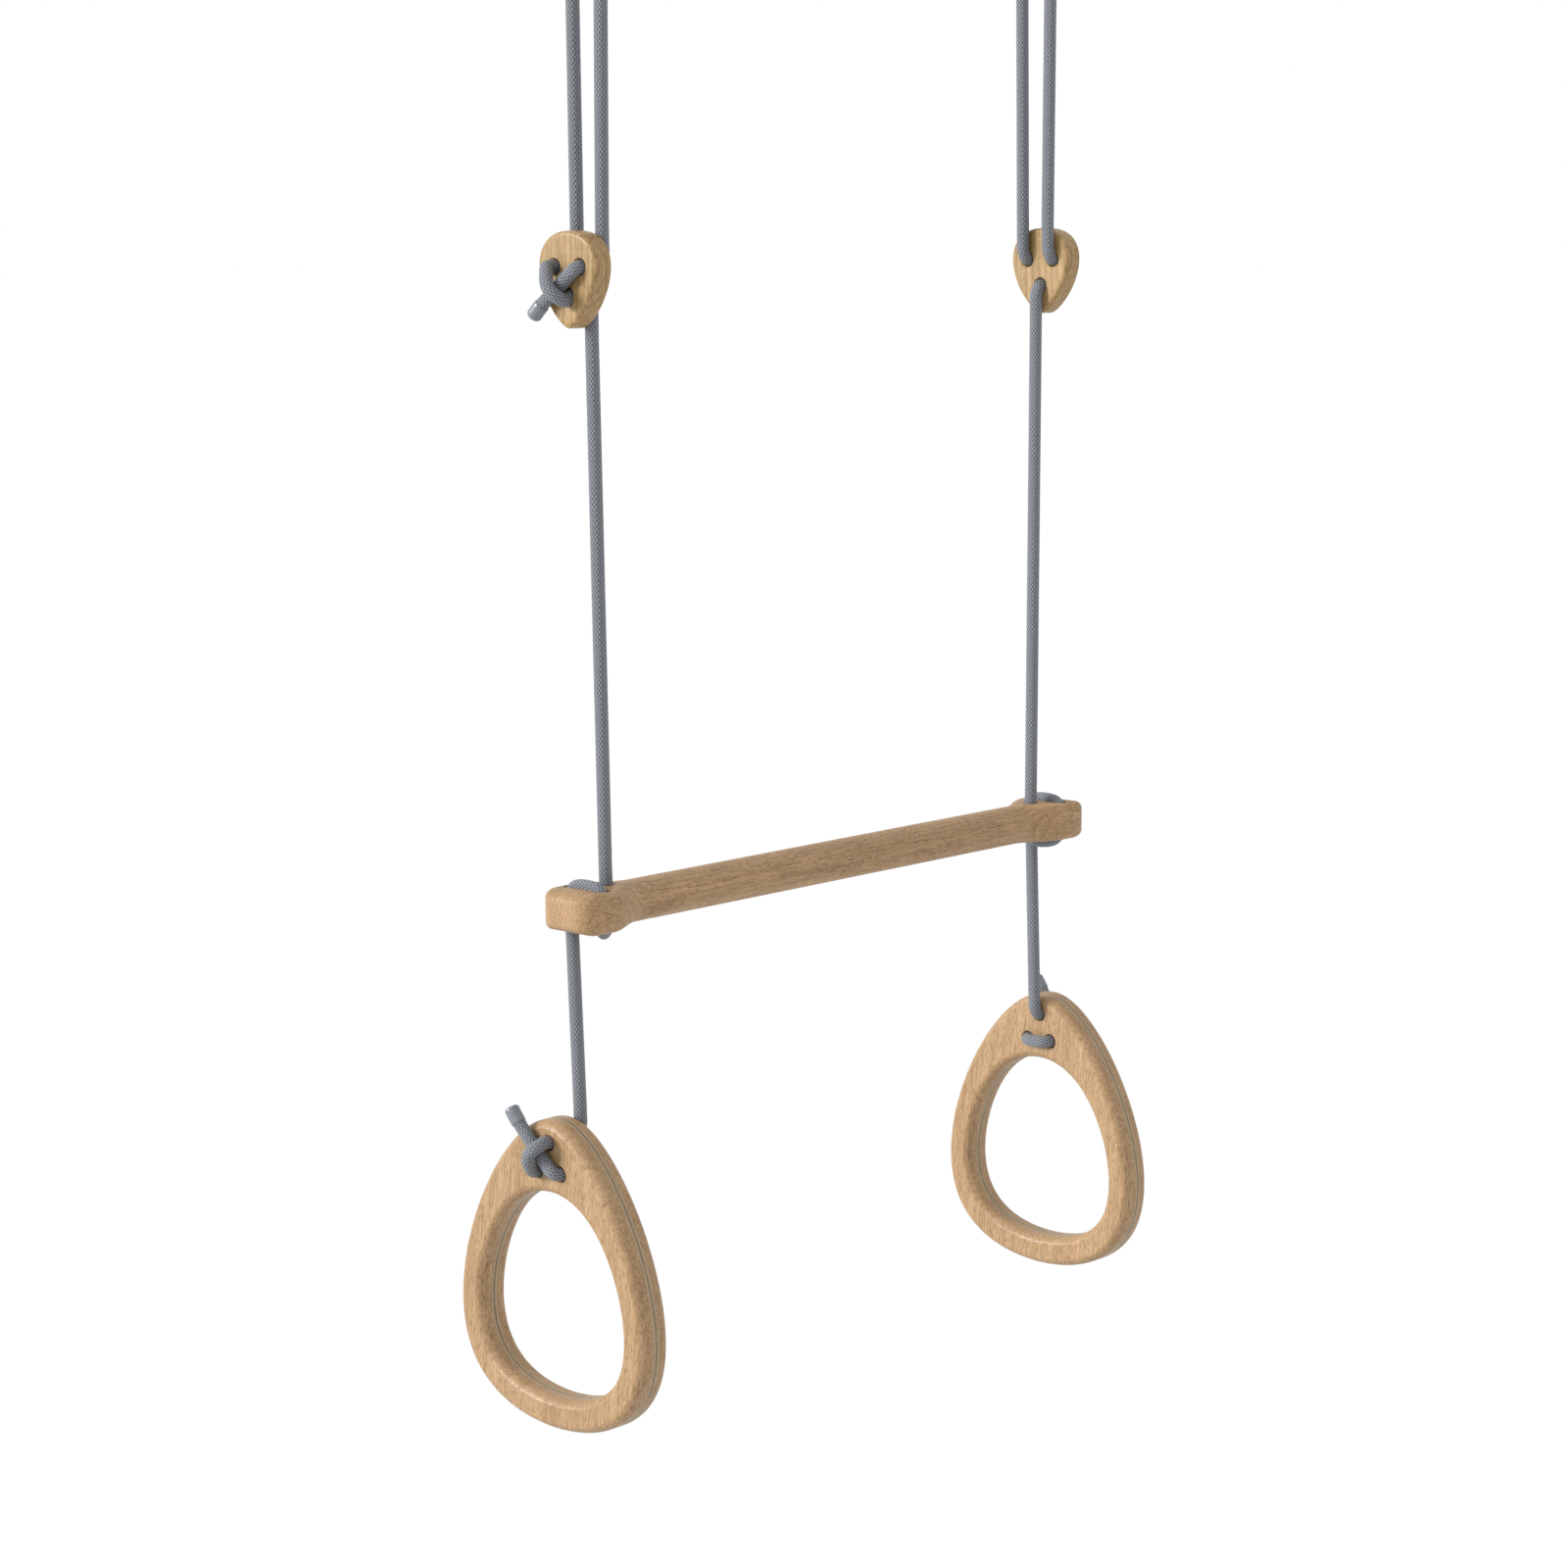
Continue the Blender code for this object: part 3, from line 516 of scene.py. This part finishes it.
def loft(name, loops, closed):
    """A skin over equal loops of points, each loop closed; the last joins the first if closed."""
    bpy.ops.object.select_all(action="DESELECT")
    count = len(loops[0])
    verts = [tuple(point) for loop in loops for point in loop]
    faces = []
    rows = len(loops)
    for row in range(rows if closed else rows - 1):
        following = (row + 1) % rows
        for k in range(count):
            after = (k + 1) % count
            here, above = row * count, following * count
            faces.append((here + k, here + after, above + after, above + k))
    if not closed:
        faces += [tuple(range(count)), tuple(range((rows - 1) * count, rows * count))]
    mesh = bpy.data.meshes.new(name)
    mesh.from_pydata(verts, [], faces)
    piece = bpy.data.objects.new(name, mesh)
    bpy.context.scene.collection.objects.link(piece)
    bpy.context.view_layer.objects.active = piece
    piece.select_set(True)
    bpy.ops.object.mode_set(mode="EDIT")
    bpy.ops.mesh.select_all(action="SELECT")
    bpy.ops.mesh.normals_make_consistent(inside=False)
    bpy.ops.object.mode_set(mode="OBJECT")
    return piece


def drill(piece, start, end, radius, flare=0.9 * MM):
    """Cuts a round hole from start to end, its two mouths eased by the flare."""
    way = (Vector(end) - Vector(start)).normalized()
    length = (Vector(end) - Vector(start)).length
    turn = way.to_track_quat("Z", "Y").to_matrix()
    profile = [(-3 * MM, radius + flare)]
    for step in range(7):
        angle = math.pi / 2 * step / 6
        profile.append((flare * math.sin(angle) * 1.0, radius + flare * (1 - math.sin(angle))))
    profile += [(length - height, wide) for height, wide in reversed(profile)]
    loops = []
    for height, wide in profile:
        loops.append([
            Vector(start) + turn @ Vector((wide * math.cos(a), wide * math.sin(a), height))
            for a in np.arange(40) * 2 * math.pi / 40
        ])
    cutter = loft("cutter", loops, False)
    take_away(piece, cutter)


def take_away(piece, cutter):
    bpy.ops.object.select_all(action="DESELECT")
    bpy.context.view_layer.objects.active = piece
    piece.select_set(True)
    boolean = piece.modifiers.new("cut", "BOOLEAN")
    boolean.operation = "DIFFERENCE"
    boolean.solver = "MANIFOLD"
    boolean.object = cutter
    bpy.ops.object.modifier_apply(modifier="cut")
    bpy.data.objects.remove(cutter, do_unlink=True)


def rope_bed(piece, rope, start, end, allowance=0.35 * MM):
    """Cuts the wood back from where the rope lies."""
    bed = rope_piece("bed", rope, start, end, ROPE_R + allowance, 20)
    take_away(piece, bed)


def finish_wood(piece, body, node, material, crease=35):
    piece.data.materials.clear()
    piece.data.materials.append(material)
    piece.data.shade_smooth()
    piece.data.set_sharp_from_angle(angle=math.radians(crease))
    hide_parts(node)
    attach(piece, body)


# The adjusters: egg-shaped oak plates, 18 mm thick, with three drilled holes. The rope
# is threaded through all three, so its own pull locks the plate at any height.

ADJUSTER_WIDE = (25.4, 7.3, -1.6)
ADJUSTER_TALL = (36.7, 1.6, -1.9)
ADJUSTER_EDGE = 3.4 * MM
HOLE_R = 5.7 * MM

def even_outline(outline, count):
    """The outline at even spacing, with its sharpest bend eased."""
    closed = np.concatenate([outline, outline[:1]])
    along = np.concatenate([[0], np.cumsum(np.linalg.norm(np.diff(closed, axis=0), axis=1))])
    wanted = np.arange(count) * along[-1] / count
    points = np.stack([np.interp(wanted, along, closed[:, k]) for k in range(2)], axis=1)
    for reach in (1, 2, 3):
        points = sum(np.roll(points, k, axis=0) for k in range(-reach, reach + 1)) / (2 * reach + 1)
    return points


for label, side in SIDES:
    outline = even_outline(egg(ADJUSTER_WIDE, ADJUSTER_TALL, 800), 160)
    half = ADJUSTER_THICK / 2
    loops = []
    for face in (-1, 1):
        rounding = []
        for step in range(7):
            angle = math.radians(90 * step / 6)
            depth = ADJUSTER_EDGE * (1 - math.cos(angle))
            rounding.append((depth, face * (half - ADJUSTER_EDGE + ADJUSTER_EDGE * math.sin(angle))))
        rounding += [(ADJUSTER_EDGE + grow * MM, face * half) for grow in (0.6,)]
        loops.append(rounding)
    profile = loops[0][::-1] + loops[1]
    skins = []
    for depth, x in profile:
        line = inset(outline, depth)
        skins.append([
            (side * ADJUSTER_OUT + x, ADJUSTER_Y + y, ADJUSTER_Z + z) for y, z in line
        ])
    plate = loft(f"{label}_rope_plate", skins, False)
    for y, z in ADJUSTER_HOLES:
        centre = Vector((side * ADJUSTER_OUT, ADJUSTER_Y + y * MM, ADJUSTER_Z + z * MM))
        reach = Vector((half, 0, 0))
        drill(plate, centre - reach, centre + reach, HOLE_R)
    rope, starts = whole_rope(side)
    rope_bed(plate, rope, 0, starts["near"] + 3)
    rope_bed(plate, rope, starts["loop"], starts["main"])
    pale = oak_material(
        f"{label}_pale_oak", (0, 0, math.radians(20)), (0.1 * side, 0.02, 0.3), (0.20, 0.118, 0.04),
        (0.42, 0.28, 0.128), (0.17, 0.098, 0.034), 5.5, 0.7, 0.25, 0.42,
    )
    finish_wood(plate, f"{label}_rope_adjuster", f"{label}_adjuster", pale)

# The trapeze bar: one oak blank, turned round in the middle and left wider and flat at
# both ends, where three holes take the rope.

BAR_R = 15.8
HEAD_WIDE = 27.0
HEAD_TALL = 15.5
HEAD_CORNER = 7.0
HEAD_END = 289.5
FLARE_START = 219.0
FLARE_END = 261.0
END_ROUND = 16.0
BAR_HOLES = ((244.8, 0.0), (265.0, 15.5), (264.0, -15.5))


def bar_section(out, wide, tall, corner, count=96):
    turn = (np.arange(count) + 0.5) * 2 * math.pi / count
    y = np.copysign(wide - corner, np.cos(turn)) + corner * np.cos(turn)
    z = np.copysign(tall - corner, np.sin(turn)) + corner * np.sin(turn)
    return [(out * MM, a * MM, BAR_Z + b * MM) for a, b in zip(y, z)]


stations = []
for out in (0, 30, 60, 90, 120, 150, 180, 200, 210, FLARE_START):
    stations.append((out, BAR_R, BAR_R, BAR_R))
FLARE_STEPS = 24
for step in range(1, FLARE_STEPS + 1):
    share = step / FLARE_STEPS
    ease = share * share * (3 - 2 * share)
    tall = BAR_R + (HEAD_TALL - BAR_R) * ease
    corner = min(BAR_R + (HEAD_CORNER - BAR_R) * ease, tall)
    wide = BAR_R + (HEAD_WIDE - BAR_R) * ease
    stations.append((FLARE_START + (FLARE_END - FLARE_START) * share, wide, tall, corner))
HEAD_FLATS = (266, 271)
for out in HEAD_FLATS:
    stations.append((out, HEAD_WIDE, HEAD_TALL, HEAD_CORNER))
ROUND_STEPS = 14
for step in range(ROUND_STEPS + 1):
    angle = math.radians(90 * step / ROUND_STEPS)
    sink = END_ROUND * (1 - math.cos(angle))
    shallow = sink * HEAD_CORNER / END_ROUND
    out = HEAD_END - END_ROUND + END_ROUND * math.sin(angle)
    stations.append((out, HEAD_WIDE - sink, HEAD_TALL - shallow, max(HEAD_CORNER - shallow, 2.0)))
sections = [bar_section(-out, *size) for out, *size in reversed(stations[1:])]
sections += [bar_section(out, *size) for out, *size in stations]
bar = loft("oak_trapeze_bar", sections, False)
for label, side in SIDES:
    for out, y in BAR_HOLES:
        middle = Vector((side * out * MM, y * MM, BAR_Z))
        reach = Vector((0, 0, HEAD_TALL * MM))
        drill(bar, middle - reach, middle + reach, HOLE_R, 0.7 * MM)
    rope, starts = whole_rope(side)
    rope_bed(bar, rope, starts["weave"], starts["ring_rope"])
bar_oak = oak_material(
    "bar_oak", (0, math.radians(90), 0), (0.2, 0.03, 0.0), (0.245, 0.145, 0.066),
    (0.43, 0.275, 0.143), (0.15, 0.083, 0.037), 4.5, 0.6, 0.55, 0.5,
)
finish_wood(bar, "trapeze", "trapeze_bar", bar_oak)

# The rings: two thick oak lamellas glued on a thin core of three veneers, cut to an
# egg shape with an egg-shaped grip opening, and rounded over on both faces.

RING_WIDE = (87.1, -25.2, -1.0)
RING_TALL = (122.9, -9.6, -5.6)
OPENING_WIDE = (73.8, -8.4, 0.8)
OPENING_TALL = (79.7, -0.4, -2.1)
OPENING_DROP = 24.4
RING_CORE = 5.0 * MM
RING_EDGE = 8.4 * MM
RING_ARC = 71
RING_TILT = math.radians(0.5)

outer = egg(RING_WIDE, RING_TALL, 220)
opening = egg(OPENING_WIDE, OPENING_TALL, 220, OPENING_DROP)
opening_centre = np.array([0.0, -OPENING_DROP * MM])


def ring_rounding(half):
    """(depth from the edge, height) up the rounding, ending at the flat of the face."""
    steps = []
    for step in range(11):
        angle = math.radians(RING_ARC * step / 10)
        steps.append((RING_EDGE * (1 - math.cos(angle)), RING_EDGE * math.sin(angle)))
    rise = half - steps[-1][1]
    return [(depth, rise + height) for depth, height in steps]


for label, side in SIDES:
    tilt = Matrix.Rotation(RING_TILT, 3, "X")
    centre = Vector((side * RING_OUT, RING_Y, RING_Z))

    def ring_loop(outline, x):
        return [centre + tilt @ Vector((x, y, z)) for y, z in outline]

    rope, starts = whole_rope(side)
    half = RING_THICK / 2
    rounding = ring_rounding(half)
    layers = (
        ("inner_lamella", -side, RING_CORE / 2 + 0.02 * MM),
        ("core", 0, RING_CORE / 2),
        ("outer_lamella", side, RING_CORE / 2 + 0.02 * MM),
    )
    for layer, way, start in layers:
        loops = []
        if way:
            loops.append((outer, 0.0, start))
            loops += [(outer, depth, height) for depth, height in rounding]
            flat_outer = inset(outer, rounding[-1][0] + 0.5 * MM)
            flat_inner = inset(opening - opening_centre, -rounding[-1][0] - 0.5 * MM) + opening_centre
            skins = [ring_loop(inset(outer, depth), way * height) for _, depth, height in loops]
            for share in (0.0, 0.25, 0.5, 0.75, 1.0):
                skins.append(ring_loop(flat_outer * (1 - share) + flat_inner * share, way * half))
            for depth, height in reversed(rounding):
                line = inset(opening - opening_centre, -depth) + opening_centre
                skins.append(ring_loop(line, way * height))
            skins.append(ring_loop(opening, way * start))
        else:
            skins = [ring_loop(outer, -start), ring_loop(outer, start)]
            skins += [ring_loop(opening, start), ring_loop(opening, -start)]
        piece = loft(f"{label}_ring_{layer}_wood", skins, True)
        for y, z in RING_HOLES:
            middle = centre + Vector((0, y * MM, z * MM))
            reach = Vector((half, 0, 0))
            drill(piece, middle - reach, middle + reach, HOLE_R)
        rope_bed(piece, rope, starts["knot"], starts["end"] - 12)
        if way:
            wood = oak_material(
                f"{label}_{layer}_oak", (math.radians(-6), 0, math.radians(25)),
                (0.3 * side + 0.05 * way, 0.1 * way, 0.2), (0.245, 0.147, 0.068), (0.43, 0.28, 0.15),
                (0.17, 0.095, 0.04), 7.0, 0.35, 0.7, 0.42,
            )
        else:
            wood = Shader(f"{label}_core_veneers")
            parts = wood.nodes.new("ShaderNodeSeparateXYZ")
            wood.link(wood.map(wood.coordinates(), location=(-side * RING_OUT, 0, 0)), parts.inputs[0])
            depth = wood.math("MULTIPLY_ADD", parts.outputs[0], 1 / RING_CORE, 0.5)
            streak = wood.noise(wood.map(wood.coordinates(), scale=(1, 0.15, 0.15)), 900, 3)
            tone = wood.ramp(
                depth, (0.0, (0.08, 0.05, 0.025)), (0.06, (0.40, 0.31, 0.19)), (0.24, (0.42, 0.33, 0.21)),
                (0.31, (0.08, 0.055, 0.03)), (0.42, (0.20, 0.135, 0.07)), (0.58, (0.20, 0.135, 0.07)),
                (0.69, (0.08, 0.055, 0.03)), (0.76, (0.42, 0.33, 0.21)), (0.94, (0.40, 0.31, 0.19)),
                (1.0, (0.08, 0.05, 0.025)),
            )
            grain = wood.ramp(streak, (0.3, (0.13, 0.085, 0.04)), (0.7, (0.36, 0.26, 0.14)))
            tone = wood.mix(0.3, tone, grain)
            wood.link(tone, wood.surface.inputs["Base Color"])
            wood.set(Roughness=0.55)
            wood.bump(streak, 0.08 * MM, 0.5)
            wood = wood.material
        finish_wood(piece, f"{label}_ring", f"{label}_ring_{layer}", wood, 14)

# The ceiling hangers: a folded steel bracket, zinc plated, that holds a nylon roller
# on an 8 mm bolt with a washer on each side and a nut.


def steel_material(name, tint, roughness):
    shader = Shader(name)
    cloud = shader.noise(shader.coordinates(), 220, 4, 0.6)
    scratch = shader.noise(shader.map(shader.coordinates(), scale=(1, 0.05, 1)), 1800, 2)
    shade = shader.ramp(cloud, (0.3, tuple(c * 0.85 for c in tint)), (0.7, tint))
    shader.link(shade, shader.surface.inputs["Base Color"])
    rough = shader.math("MULTIPLY_ADD", scratch, 0.2, roughness)
    shader.link(rough, shader.surface.inputs["Roughness"])
    shader.set(Metallic=1.0)
    shader.bump(scratch, 0.02 * MM, 0.4)
    return shader.material


ZINC = steel_material("zinc_plate", (0.66, 0.67, 0.69), 0.24)
BOLT_ZINC = steel_material("bolt_zinc", (0.70, 0.70, 0.70), 0.2)
nylon = Shader("turned_nylon")
lathe = nylon.noise(nylon.map(nylon.coordinates(), scale=(1, 0.1, 0.1)), 1200, 2)
nylon_tone = nylon.ramp(lathe, (0.3, (0.66, 0.65, 0.60)), (0.7, (0.74, 0.73, 0.69)))
nylon.link(nylon_tone, nylon.surface.inputs["Base Color"])
nylon.set(Roughness=0.4, Subsurface_Weight=0.1)
nylon.bump(lathe, 0.04 * MM, 0.4)

for label, side in SIDES:
    for part in ("bracket", "washer_inner", "washer_outer"):
        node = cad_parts[f"{label}_hanger_{part}"]
        node.data.materials.clear()
        node.data.materials.append(ZINC)
    for part in ("bolt", "nut"):
        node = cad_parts[f"{label}_hanger_{part}"]
        node.data.materials.clear()
        node.data.materials.append(BOLT_ZINC)
    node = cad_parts[f"{label}_hanger_roller"]
    node.data.materials.clear()
    node.data.materials.append(nylon.material)
